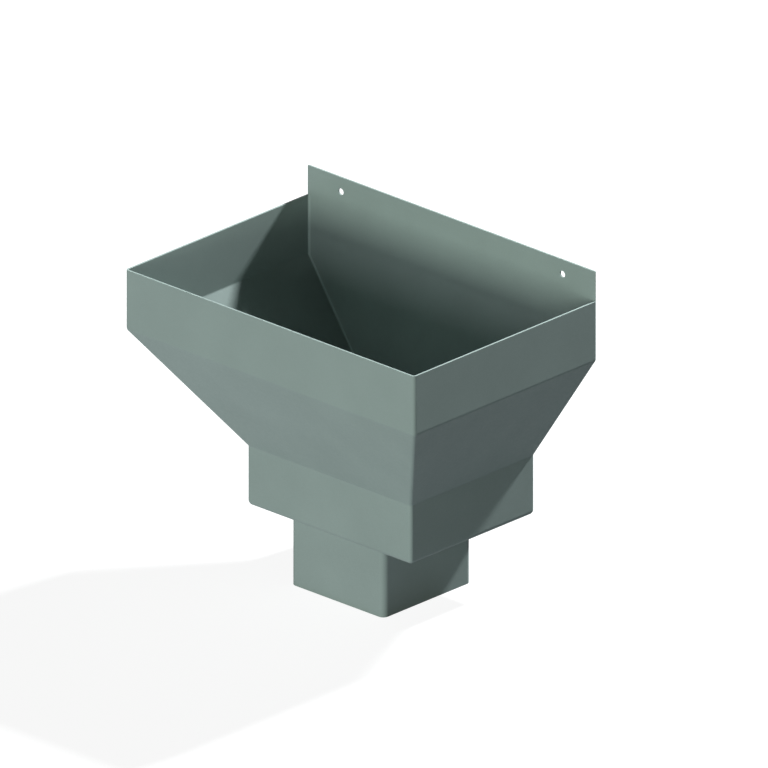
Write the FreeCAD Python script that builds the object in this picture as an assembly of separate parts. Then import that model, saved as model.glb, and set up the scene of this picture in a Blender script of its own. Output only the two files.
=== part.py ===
import FreeCAD, Part
import math
import os

# Downpipe hopper head: one welded shell of folded sheet with a powder coat.
# The wall face is Y = 0 and the head reaches towards -Y. X = 0 is its plane of symmetry.
# Z = 0 is the line of the two fixing holes. All sizes are in millimetres.

# Sheet thickness, the same everywhere
wall = 1.5

# Rim: the upright band round the mouth
rim_width = 300.0
rim_depth = 201.0
rim_height = 48.5

# Taper: three sloping sides between the rim and the lower box, the back stays upright
taper_height = 96.5

# Lower box
box_width = 170.0
box_depth = 136.0
box_height = 49.0

# Back plate: the back wall carried up above the rim, with two round fixing holes
upstand = 24.0
hole_drop = 12.0
hole_diameter = 5.3
hole_spacing = 230.0

# Outlet spigot: a square tube that slides into the downpipe
spigot_width = 96.5
spigot_depth = 96.5
spigot_length = 57.0
spigot_standoff = 30.5

# Inside radii of the bends
corner_bend = 1.25
fold_bend = 2.5
floor_bend = 2.5
outlet_bend = 1.5
spigot_bend = 3.5

# Rounding of the cut edges under the coat
edge_break = 0.2

# Levels, from the fixing line down
plate_top = hole_drop
rim_top = plate_top - upstand
rim_fold = rim_top - rim_height
box_fold = rim_fold - taper_height
floor_level = box_fold - box_height
spigot_end = floor_level - spigot_length

# How far the cutting shapes run past what they cut
overrun = 5.0


def vec(x, y, z):
    return FreeCAD.Vector(x, y, z)


def middle_tangent(edge):
    return edge.tangentAt((edge.FirstParameter + edge.LastParameter) / 2)


def fold_shift(offset, inset):
    # A fold moves up by this much on a surface that lies offset inside the outer one
    slope = math.atan2(inset, taper_height)
    return offset * math.tan(slope / 2)


def folded_prism(outline, direction, along, folds):
    # Extrude a sharp outline, then bend its folds: each fold is a point and a radius
    prism = Part.Face(Part.makePolygon(outline + outline[:1])).extrude(direction)
    for point, radius in folds:
        edges = []
        for edge in prism.Edges:
            if abs(middle_tangent(edge).dot(along)) < 0.99:
                continue
            start = edge.Vertexes[0].Point - point
            if (start - along * start.dot(along)).Length < 0.01:
                edges.append(edge)
        prism = prism.makeFillet(radius, edges)
    return prism


def front_view_prism(offset, top, bottom):
    # The head seen from the front: rim, taper and box on both sides
    half_rim = rim_width / 2 - offset
    half_box = box_width / 2 - offset
    shift = fold_shift(offset, (rim_width - box_width) / 2)
    upper = rim_fold + shift
    lower = box_fold + shift
    right = [vec(half_rim, 0, top), vec(half_rim, 0, upper), vec(half_box, 0, lower), vec(half_box, 0, bottom)]
    left = [vec(-p.x, 0, p.z) for p in reversed(right)]
    outer_fold = fold_bend + wall - offset
    inner_fold = fold_bend + offset
    folds = [(right[1], outer_fold), (left[2], outer_fold), (right[2], inner_fold), (left[1], inner_fold)]
    return folded_prism(right + left, vec(0, -rim_depth, 0), vec(0, 1, 0), folds)


def side_view_prism(offset, top, bottom):
    # The head seen from the side: a flat back at the wall, the folds only in front
    back = -offset
    rim_front = -(rim_depth - offset)
    box_front = -(box_depth - offset)
    shift = fold_shift(offset, rim_depth - box_depth)
    upper = rim_fold + shift
    lower = box_fold + shift
    side = -rim_width / 2
    outline = [
        vec(side, back, top),
        vec(side, rim_front, top),
        vec(side, rim_front, upper),
        vec(side, box_front, lower),
        vec(side, box_front, bottom),
        vec(side, back, bottom),
    ]
    folds = [(outline[2], fold_bend + wall - offset), (outline[3], fold_bend + offset)]
    return folded_prism(outline, vec(rim_width, 0, 0), vec(1, 0, 0), folds)


def body_form(offset, top):
    # The closed form of rim, taper and box, offset inwards from the outer faces
    bottom = floor_level + offset
    form = front_view_prism(offset, top, bottom).common(side_view_prism(offset, top, bottom)).Solids[0]
    corners = [edge for edge in form.Edges if abs(middle_tangent(edge).z) > 0.3]
    form = form.makeFillet(corner_bend + wall - offset, corners)
    floor_edges = [edge for edge in form.Edges if all(abs(v.Z - bottom) < 0.01 for v in edge.Vertexes)]
    return form.makeFillet(floor_bend + wall - offset, floor_edges)


def spigot_form(offset, top, bottom):
    # A square prism with rounded corners
    width = spigot_width - 2 * offset
    depth = spigot_depth - 2 * offset
    back = -(spigot_standoff + offset)
    prism = Part.makeBox(width, depth, top - bottom, vec(-width / 2, back - depth, bottom))
    corners = [edge for edge in prism.Edges if abs(middle_tangent(edge).z) > 0.99]
    return prism.makeFillet(spigot_bend + wall - offset, corners)


def head_form(offset, top, bottom, outlet_radius):
    # Body and spigot as one form, with the bend where the floor turns down into the spigot
    floor = floor_level + offset
    middle = floor + overrun
    form = body_form(offset, top).fuse(spigot_form(offset, middle, bottom)).removeSplitter()
    ring = []
    for edge in form.Edges:
        centre = edge.CenterOfMass
        inside = abs(centre.x) < spigot_width / 2 + 0.01 and centre.y < -(spigot_standoff - 0.01)
        if abs(centre.z - floor) < 0.01 and inside and centre.y > -(spigot_standoff + spigot_depth + 0.01):
            ring.append(edge)
    return form.makeFillet(outlet_radius, ring)


def edges_at(body, level):
    # The long edges of a cut face that lies level
    edges = []
    for edge in body.Edges:
        flat = all(abs(v.Z - level) < 0.01 for v in edge.Vertexes)
        if flat and abs(edge.CenterOfMass.z - level) < 0.01:
            edges.append(edge)
    return edges


def shell():
    # Rim, taper, box and spigot, open at the mouth and at the outlet, with softened cut edges
    outer = head_form(0.0, rim_top, spigot_end, outlet_bend)
    inner = head_form(wall, rim_top + overrun, spigot_end - overrun, outlet_bend + wall)
    body = outer.cut(inner)
    body = body.makeFillet(edge_break, edges_at(body, rim_top))
    return body.makeFillet(edge_break, edges_at(body, spigot_end))


def back_plate():
    # The back wall above the rim, in line with the corners below, reaching down into the wall
    foot = rim_top - overrun
    form = body_form(0.0, plate_top)
    slab = Part.makeBox(rim_width, wall, plate_top - foot, vec(-rim_width / 2, -wall, foot))
    plate = form.common(slab).Solids[0]
    front_sides = []
    for edge in plate.Edges:
        if abs(middle_tangent(edge).z) > 0.99 and abs(edge.CenterOfMass.y + wall) < 0.01:
            front_sides.append(edge)
    plate = plate.makeFillet(edge_break, front_sides + edges_at(plate, plate_top))
    for side in (-1, 1):
        start = vec(side * hole_spacing / 2, -wall - overrun, plate_top - hole_drop)
        plate = plate.cut(Part.makeCylinder(hole_diameter / 2, wall + 2 * overrun, start, vec(0, 1, 0)))
    round_length = math.pi * hole_diameter
    hole_rims = [edge for edge in plate.Edges if edge.isClosed() and abs(edge.Length - round_length) < 0.01]
    return plate.makeFillet(edge_break, hole_rims)


os.makedirs("parts", exist_ok=True)
hopper_body = shell().fuse(back_plate()).removeSplitter()
print("valid", hopper_body.isValid(), "solids", len(hopper_body.Solids), "faces", len(hopper_body.Faces))
print("volume", hopper_body.Volume, "bounds", hopper_body.BoundBox)
hopper_body.exportStep("parts/hopper_body.step")
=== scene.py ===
import bpy
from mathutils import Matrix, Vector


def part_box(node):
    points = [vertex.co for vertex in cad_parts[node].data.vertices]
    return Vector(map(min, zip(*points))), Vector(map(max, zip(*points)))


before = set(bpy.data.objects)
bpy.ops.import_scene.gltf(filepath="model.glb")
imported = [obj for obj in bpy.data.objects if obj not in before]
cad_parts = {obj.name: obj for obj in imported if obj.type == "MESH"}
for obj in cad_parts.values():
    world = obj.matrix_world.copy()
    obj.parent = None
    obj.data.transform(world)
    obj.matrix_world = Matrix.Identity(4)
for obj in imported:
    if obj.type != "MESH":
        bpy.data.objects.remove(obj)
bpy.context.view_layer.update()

import bpy
import math
from mathutils import Vector

print("hopper head: frame loaded")

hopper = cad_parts["hopper_body"]
lowest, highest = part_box("hopper_body")


def deselectAll():
    for item in bpy.context.selected_objects:
        item.select_set(False)


def addNode(tree, kind, place, **settings):
    node = tree.nodes.new(kind)
    node.location = place
    for name, value in settings.items():
        setattr(node, name, value)
    return node


def mathNode(tree, operation, values, place):
    # each value is a plain number or another node's output
    node = addNode(tree, "ShaderNodeMath", place, operation=operation)
    for socket, value in zip(node.inputs, values):
        if isinstance(value, bpy.types.NodeSocket):
            tree.links.new(value, socket)
        else:
            socket.default_value = value
    return node.outputs[0]


def rangeNode(tree, value, source, target, place):
    # carries one range over to another and stops at both ends
    node = addNode(tree, "ShaderNodeMapRange", place)
    node.inputs["From Min"].default_value = source[0]
    node.inputs["From Max"].default_value = source[1]
    node.inputs["To Min"].default_value = target[0]
    node.inputs["To Max"].default_value = target[1]
    tree.links.new(value, node.inputs["Value"])
    return node.outputs["Result"]


def axesNode(tree, coordinates, place):
    split = addNode(tree, "ShaderNodeSeparateXYZ", place)
    tree.links.new(coordinates, split.inputs[0])
    return split.outputs


# the satin powder coat that covers the whole head, lengths in metres
coat = {
    "colour": (0.212, 0.263, 0.25),
    "specular": 0.13,
    "roughness": (0.6, 0.72),
    "cloudSize": 0.055,  # slow patches of thicker powder
    "cloudDetail": 3.0,
    "cloudShade": 0.965,  # how dark they go
    "peelSize": 0.0026,  # the soft waves that sprayed powder flows out to
    "peelDetail": 1.5,
    "peelHeight": 0.000015,
    "grainSize": 0.0007,  # the finest grain of the powder
    "grainDetail": 1.0,
    "grainHeight": 0.000004,
    "grainShade": 0.975,  # how dark it goes
    "noiseMiddle": (0.3, 0.7),  # most of a noise lies between these
    "edgeWidth": 0.0003,  # the paler band on the cut edges of the sheet: partly a thinner coat, partly painted highlight
    "edgeLift": 1.4,  # how much paler it is there
    "upstand": 0.024,  # the back plate's rise over the rim
    "sheet": 0.0016,  # just past the back plate's thickness
    "cornerWidth": 0.0009,  # half the width of the painted highlight strip on the plate beside each end wall
    "cornerRiseRim": 0.12,  # how much paler the painted highlight strip is at the top of the rim
    "cornerRiseTaper": 0.42,  # and from where the taper starts
    "stripTop": (-0.0605, 0.1475),  # where the taper starts and how far out the strip lies there
    "stripFoot": (-0.157, 0.0825),  # the same where the taper ends
}
rimLevel = highest[2] - coat["upstand"]


def noiseNode(tree, coordinates, size, detail, place):
    noise = addNode(tree, "ShaderNodeTexNoise", place)
    noise.inputs["Scale"].default_value = 1.0 / size
    noise.inputs["Detail"].default_value = detail
    tree.links.new(coordinates, noise.inputs["Vector"])
    return noise.outputs["Fac"]


def spread(tree, noise, wanted, place):
    # noise bunches around a half, so its middle part is spread over the wanted range
    return rangeNode(tree, noise, coat["noiseMiddle"], wanted, place)


def levelMask(tree, height, level, place):
    # one close to the level that the sheet was cut at, nothing further off
    return mathNode(tree, "COMPARE", (height, level, coat["edgeWidth"]), place)


def powderShade(tree, clouds, grain, place):
    # slow patches times fine grain, both around one
    left, top = place
    patches = spread(tree, clouds, (coat["cloudShade"], 2.0 - coat["cloudShade"]), (left, top - 200))
    specks = spread(tree, grain, (coat["grainShade"], 2.0 - coat["grainShade"]), (left, top))
    return mathNode(tree, "MULTIPLY", (patches, specks), (left + 220, top - 100))


def edgeThinCoatAndHighlight(tree, axes, place):
    # one, and more on the cut edges: the plate's top, the rim's top and the outlet's end, partly a
    # thinner coat there and partly a painted highlight on the lit top faces
    left, top = place
    plateTop = levelMask(tree, axes["Z"], highest[2], (left, top))
    outletEnd = levelMask(tree, axes["Z"], lowest[2], (left, top - 180))
    rimTop = levelMask(tree, axes["Z"], rimLevel, (left, top - 360))
    inFront = mathNode(tree, "LESS_THAN", (axes["Y"], -coat["sheet"]), (left, top - 540))
    rimTop = mathNode(tree, "MULTIPLY", (rimTop, inFront), (left + 220, top - 400))
    cutEdge = mathNode(tree, "MAXIMUM", (plateTop, outletEnd), (left + 220, top - 60))
    cutEdge = mathNode(tree, "MAXIMUM", (cutEdge, rimTop), (left + 320, top - 200))
    return rangeNode(tree, cutEdge, (0.0, 1.0), (1.0, coat["edgeLift"]), (left + 440, top))


def paintedCornerHighlight(tree, axes, place):
    # one, and more on a strip of the plate beside the end walls, down the rim and down the taper: a
    # painted highlight where the inner bend catches a reflection
    left, top = place
    topLevel, topReach = coat["stripTop"]
    footLevel, footReach = coat["stripFoot"]
    reach = rangeNode(tree, axes["Z"], (footLevel, topLevel), (footReach, topReach), (left, top))
    outward = mathNode(tree, "ABSOLUTE", (axes["X"],), (left, top - 260))
    beside = mathNode(tree, "COMPARE", (outward, reach, coat["cornerWidth"]), (left + 220, top))
    plateDepth = -coat["sheet"] - coat["cornerWidth"]
    onPlate = mathNode(tree, "GREATER_THAN", (axes["Y"], plateDepth), (left + 220, top - 180))
    underRim = mathNode(tree, "LESS_THAN", (axes["Z"], rimLevel), (left + 220, top - 360))
    rises = (coat["cornerRiseTaper"], coat["cornerRiseRim"])
    rise = rangeNode(tree, axes["Z"], (topLevel, rimLevel), rises, (left + 220, top - 540))
    strip = mathNode(tree, "MULTIPLY", (beside, onPlate), (left + 440, top))
    strip = mathNode(tree, "MULTIPLY", (strip, underRim), (left + 440, top - 180))
    return mathNode(tree, "MULTIPLY_ADD", (strip, rise, 1.0), (left + 660, top))


def buildPowderCoat():
    material = bpy.data.materials.new("powderCoat")
    material.use_nodes = True
    tree = material.node_tree
    shader = tree.nodes["Principled BSDF"]
    shader.inputs["Specular IOR Level"].default_value = coat["specular"]
    coordinates = addNode(tree, "ShaderNodeTexCoord", (-1500, 0)).outputs["Object"]
    axes = axesNode(tree, coordinates, (-1250, -500))

    clouds = noiseNode(tree, coordinates, coat["cloudSize"], coat["cloudDetail"], (-1250, 400))
    peel = noiseNode(tree, coordinates, coat["peelSize"], coat["peelDetail"], (-1250, 100))
    grain = noiseNode(tree, coordinates, coat["grainSize"], coat["grainDetail"], (-1250, -200))

    # colour: the powder's own shades, paler on the cut edges (partly a thinner coat, partly painted
    # highlight) and with a painted highlight in the inner corners beside the end walls
    shade = powderShade(tree, clouds, grain, (-1000, 600))
    edges = edgeThinCoatAndHighlight(tree, axes, (-1000, -500))
    shade = mathNode(tree, "MULTIPLY", (shade, edges), (-560, 400))
    cornerHighlight = paintedCornerHighlight(tree, axes, (-1250, -1300))
    shade = mathNode(tree, "MULTIPLY", (shade, cornerHighlight), (-560, 560))
    tint = addNode(tree, "ShaderNodeVectorMath", (-340, 400), operation="SCALE")
    tint.inputs[0].default_value = coat["colour"]
    tree.links.new(shade, tint.inputs["Scale"])
    tree.links.new(tint.outputs[0], shader.inputs["Base Color"])

    # gloss wanders a little with the waves in the coat
    gloss = spread(tree, peel, coat["roughness"], (-560, 100))
    tree.links.new(gloss, shader.inputs["Roughness"])

    # the waves and the grain as heights in metres
    waves = mathNode(tree, "MULTIPLY", (peel, coat["peelHeight"]), (-780, -100))
    grains = mathNode(tree, "MULTIPLY", (grain, coat["grainHeight"]), (-780, -260))
    height = mathNode(tree, "ADD", (waves, grains), (-560, -150))
    bump = addNode(tree, "ShaderNodeBump", (-340, -150))
    bump.inputs["Distance"].default_value = 1.0
    tree.links.new(height, bump.inputs["Height"])
    tree.links.new(bump.outputs["Normal"], shader.inputs["Normal"])
    return material


hopper.data.materials[0] = buildPowderCoat()
print("hopper head: powder coat on")

# floor and backdrop: plain and pale, white to the camera and to gloss, with the head's soft shadow
studio = {
    "floorSize": 8.0,
    "floorGap": 0.0002,  # how far it stays under the outlet's end
    "whiteness": 0.9,  # what the floor shows by itself, the lamps bring the rest
    "shadowCatch": (0.194, 0.194, 0.194, 1.0),  # how much of the lamps it shows to the camera
    "floorColour": (0.112, 0.121, 0.138, 1.0),  # what it throws back on the head
    "cardGlow": (0.285, 0.27, 0.335, 1.0),  # a bounce card on the floor, seen by soft light alone
    "cardBack": -0.13,  # its back edge, just in front of the spigot
    "cardRight": 0.15,  # its right edge, in line with the rim's right side
    "backdrop": (1.0, 1.0, 1.0, 1.0),
    "fill": 0.0034,  # faint even light from all round
}


def seenDirectly(tree, place):
    # one for rays that come from the camera, a glossy surface or clear material
    left, top = place
    path = addNode(tree, "ShaderNodeLightPath", place).outputs
    either = mathNode(tree, "MAXIMUM", (path["Is Camera Ray"], path["Is Glossy Ray"]), (left + 200, top))
    return mathNode(tree, "MAXIMUM", (either, path["Is Transmission Ray"]), (left + 400, top))


def cardMask(tree, place):
    # one where the bounce card lies
    left, top = place
    coordinates = addNode(tree, "ShaderNodeTexCoord", place).outputs["Object"]
    axes = axesNode(tree, coordinates, (left + 200, top))
    before = mathNode(tree, "LESS_THAN", (axes["Y"], studio["cardBack"]), (left + 400, top + 100))
    leftOf = mathNode(tree, "LESS_THAN", (axes["X"], studio["cardRight"]), (left + 400, top - 80))
    return mathNode(tree, "MULTIPLY", (before, leftOf), (left + 600, top))


def addShaders(tree, first, second, place):
    both = addNode(tree, "ShaderNodeAddShader", place)
    tree.links.new(first.outputs[0], both.inputs[0])
    tree.links.new(second.outputs[0], both.inputs[1])
    return both


def chooseShader(tree, hidden, seen, place):
    # the seen shader for rays that meet it directly, the hidden one for the light on the head
    chooser = addNode(tree, "ShaderNodeMixShader", place)
    tree.links.new(seenDirectly(tree, (-600, 200)), chooser.inputs[0])
    tree.links.new(hidden.outputs[0], chooser.inputs[1])
    tree.links.new(seen.outputs[0], chooser.inputs[2])
    return chooser


def buildFloor():
    deselectAll()
    floorLevel = lowest[2] - studio["floorGap"]
    bpy.ops.mesh.primitive_plane_add(size=studio["floorSize"], location=(0, 0, floorLevel))
    floor = bpy.context.object
    floor.name = "studioFloor"
    material = bpy.data.materials.new("studioFloor")
    material.use_nodes = True
    tree = material.node_tree
    tree.nodes.clear()

    # what lights the head from below: a dark floor and the card
    dark = addNode(tree, "ShaderNodeBsdfDiffuse", (0, 100))
    dark.inputs["Color"].default_value = studio["floorColour"]
    card = addNode(tree, "ShaderNodeEmission", (-200, 300))
    card.inputs["Color"].default_value = studio["cardGlow"]
    tree.links.new(cardMask(tree, (-1000, 600)), card.inputs["Strength"])
    thrown = addShaders(tree, dark, card, (100, 250))

    # what the camera sees: white, with the shadow
    glow = addNode(tree, "ShaderNodeEmission", (-200, -100))
    glow.inputs["Strength"].default_value = studio["whiteness"]
    catcher = addNode(tree, "ShaderNodeBsdfDiffuse", (-200, -250))
    catcher.inputs["Color"].default_value = studio["shadowCatch"]
    pale = addShaders(tree, glow, catcher, (0, -150))

    chooser = chooseShader(tree, thrown, pale, (200, 0))
    output = addNode(tree, "ShaderNodeOutputMaterial", (400, 0))
    tree.links.new(chooser.outputs[0], output.inputs["Surface"])
    floor.data.materials.append(material)


def buildWorld():
    world = bpy.data.worlds.new("studio")
    bpy.context.scene.world = world
    world.use_nodes = True
    tree = world.node_tree
    tree.nodes.clear()
    fill = addNode(tree, "ShaderNodeBackground", (0, 100))
    fill.inputs["Strength"].default_value = studio["fill"]
    white = addNode(tree, "ShaderNodeBackground", (0, -100))
    white.inputs["Color"].default_value = studio["backdrop"]
    chooser = chooseShader(tree, fill, white, (200, 0))
    output = addNode(tree, "ShaderNodeOutputWorld", (400, 0))
    tree.links.new(chooser.outputs[0], output.inputs["Surface"])


buildFloor()
buildWorld()
print("hopper head: floor and backdrop ready")

# soft boxes: angles in degrees round from the front to the right, and up
# distance and sizes in metres, power in watts
lamps = {
    "frontBox": {
        "round": 12, "up": 3, "distance": 6.0, "wide": 1.8, "tall": 1.0,
        "watts": 260, "colour": (0.931, 1.0, 0.912),
    },
    "raisedBox": {
        "round": 10, "up": 14, "distance": 6.0, "wide": 1.8, "tall": 1.0,
        "watts": 73, "colour": (1.0, 1.0, 1.02),
    },
    "backBox": {
        "round": 171.3, "up": 41.7, "distance": 5.0, "wide": 0.4, "tall": 0.4,
        "watts": 610, "colour": (0.97, 1.0, 1.01),
    },
}
lampTarget = Vector((0.0, -0.1, -0.05))  # inside the mouth, near the foot of the rim


def directionTo(roundDegrees, upDegrees):
    # from the head, so many degrees round from the front to the right, and up
    across = math.radians(roundDegrees)
    rise = math.radians(upDegrees)
    return Vector((
        math.sin(across) * math.cos(rise),
        -math.cos(across) * math.cos(rise),
        math.sin(rise),
    ))


def addSoftBox(name, lamp):
    light = bpy.data.lights.new(name, "AREA")
    light.shape = "RECTANGLE"
    light.size = lamp["wide"]
    light.size_y = lamp["tall"]
    light.energy = lamp["watts"]
    light.color = lamp["colour"]
    holder = bpy.data.objects.new(name, light)
    bpy.context.scene.collection.objects.link(holder)
    toLamp = directionTo(lamp["round"], lamp["up"])
    holder.location = lampTarget + toLamp * lamp["distance"]
    holder.rotation_euler = toLamp.to_track_quat("Z", "Y").to_euler()


for name, lamp in lamps.items():
    addSoftBox(name, lamp)
print("hopper head: lamps hung")

# camera: a parallel view, as the photograph shows no perspective; angles in degrees as for the lamps
cameraSetup = {
    "azimuth": 43.458,
    "elevation": 23.12,
    "imageSize": 768,  # in pixels, the picture is square
    "millimetresPerPixel": 0.753717,
    "fixingLinePixel": (452.97, 232.45),  # where the point between the two fixing holes lies
    "distance": 2.0,
}


def buildCamera():
    azimuth = math.radians(cameraSetup["azimuth"])
    toCamera = directionTo(cameraSetup["azimuth"], cameraSetup["elevation"])
    right = Vector((math.cos(azimuth), math.sin(azimuth), 0))
    up = toCamera.cross(right)
    metresPerPixel = cameraSetup["millimetresPerPixel"] / 1000
    middle = cameraSetup["imageSize"] / 2
    pixelX, pixelY = cameraSetup["fixingLinePixel"]
    aim = right * (middle - pixelX) * metresPerPixel + up * (pixelY - middle) * metresPerPixel
    camera = bpy.data.cameras.new("camera")
    camera.type = "ORTHO"
    camera.ortho_scale = cameraSetup["imageSize"] * metresPerPixel
    holder = bpy.data.objects.new("camera", camera)
    bpy.context.scene.collection.objects.link(holder)
    holder.location = aim + toCamera * cameraSetup["distance"]
    holder.rotation_euler = toCamera.to_track_quat("Z", "Y").to_euler()
    bpy.context.scene.camera = holder


buildCamera()
bpy.context.scene.view_settings.view_transform = "Standard"
print("hopper head: camera set")
